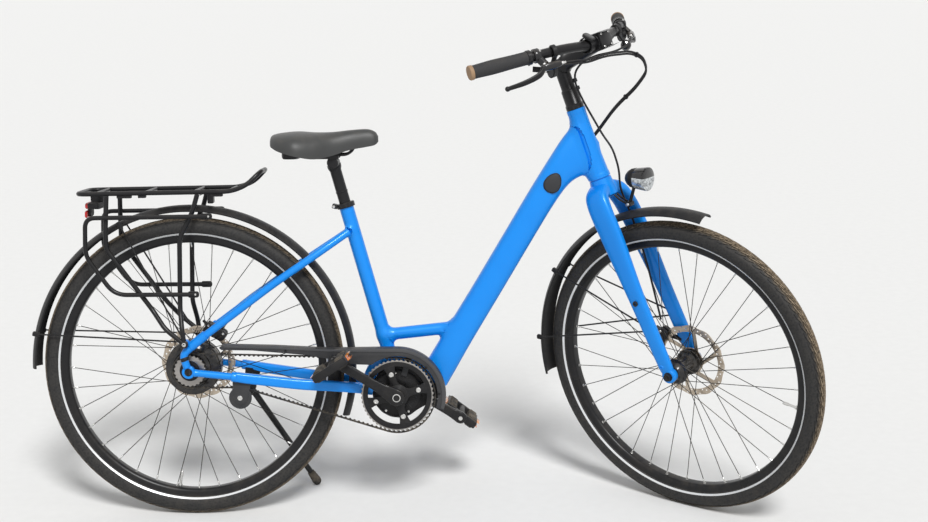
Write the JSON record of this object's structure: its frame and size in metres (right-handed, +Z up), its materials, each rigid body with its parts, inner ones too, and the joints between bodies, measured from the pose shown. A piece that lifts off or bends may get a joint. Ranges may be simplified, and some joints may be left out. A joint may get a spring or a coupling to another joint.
{
  "type": "electric city bicycle",
  "caption": "Step-through electric city bike on its side stand, with belt drive, rear rack, mudguards and lamps.",
  "frame": {"origin": "bottom centre of the whole bike's box, on the floor", "axes": "+X forward along the frame, +Y to the rider's left, +Z up; the bike leans left onto its stand with its steering turned right"},
  "size_m": [1.8563, 0.6047, 1.1612],
  "materials": {
    "frame_paint": "azure blue gloss paint",
    "black_alloy": "satin black",
    "black_plastic": "fine moulded texture",
    "tyre_rubber": "dusty rubber, pale tread, reflective line",
    "grip_rubber": "soft matt",
    "saddle_cover": "smooth synthetic cover",
    "steel": "drawn wire and turned steel",
    "rotor_steel": "ground steel, browned"
  },
  "bodies": {
    "frame": {"head_tube": "frame_paint", "down_tube": "frame_paint", "seat_tube": "frame_paint", "brace_tube": "frame_paint", "seatstays": "frame_paint", "chainstays": "frame_paint", "motor": "black_plastic", "motor_cradle": "frame_paint", "seat_clamp": "black_alloy", "seatpost": "black_alloy", "saddle": "saddle_cover", "saddle_rails": "steel", "rack_deck": "black_alloy", "rack_legs": "black_alloy", "rack_side_rails": "black_alloy", "rear_fender": "black_plastic", "rear_fender_stays": "black_alloy", "tail_lamp": "black_plastic", "belt_guard": "black_plastic", "drive_belt": "grip_rubber", "belt_tensioner": "black_plastic", "rear_caliper": "black_alloy", "rear_axle": "steel", "stand_bracket": "black_alloy"},
    "steering": {"fork": "frame_paint", "fork_bosses": "steel", "stem": "black_alloy", "handlebar": "black_alloy", "grips": "grip_rubber", "brake_levers": "black_alloy", "headlight": "black_plastic", "front_fender": "black_plastic", "front_fender_stays": "black_alloy", "front_caliper": "black_alloy", "front_axle": "steel"},
    "front_wheel": {"front_tyre": "tyre_rubber", "front_rim": "black_alloy", "front_spokes": "steel", "front_hub": "black_alloy", "front_rotor": "rotor_steel"},
    "rear_wheel": {"rear_tyre": "tyre_rubber", "rear_rim": "black_alloy", "rear_spokes": "steel", "rear_hub": "black_alloy", "rear_rotor": "rotor_steel", "rear_cog": "steel"},
    "crankset": {"chainring": "steel", "cranks": "black_alloy"},
    "pedal_right": {"pedal_right": "black_plastic"},
    "pedal_left": {"pedal_left": "black_plastic"},
    "side_stand": {"stand_leg": "black_alloy"}
  },
  "joints": [
    {"name": "steering_turn", "type": "hinge", "parent": "frame", "child": "steering", "pos_m": [0.4072, 0.01037, 0.87835], "axis": [-0.33, 0.1134, 0.9372], "range_deg": [-22, 97]},
    {"name": "front_wheel_spin", "type": "hinge", "parent": "steering", "child": "front_wheel", "pos_m": [0.62889, -0.08019, 0.35914], "axis": [0.5773, 0.8097, 0.1053], "continuous": true},
    {"name": "rear_wheel_spin", "type": "hinge", "parent": "frame", "child": "rear_wheel", "pos_m": [-0.53824, -0.0525, 0.35857], "axis": [0, 0.9928, -0.1201], "continuous": true},
    {"name": "crank_spin", "type": "hinge", "parent": "frame", "child": "crankset", "pos_m": [-0.04722, -0.05995, 0.29716], "axis": [0, 0.9928, -0.1201], "continuous": true},
    {"name": "pedal_right_spin", "type": "hinge", "parent": "crankset", "child": "pedal_right", "pos_m": [-0.19297, -0.19338, 0.40146], "axis": [0, 0.9928, -0.1201], "continuous": true},
    {"name": "pedal_left_spin", "type": "hinge", "parent": "crankset", "child": "pedal_left", "pos_m": [0.09852, 0.07349, 0.19286], "axis": [0, 0.9928, -0.1201], "continuous": true},
    {"name": "stand_fold", "type": "hinge", "parent": "frame", "child": "side_stand", "pos_m": [-0.41822, 0.02248, 0.27902], "axis": [0.1791, 0.9447, 0.2747], "range_deg": [0, 124.1]}
  ]
}
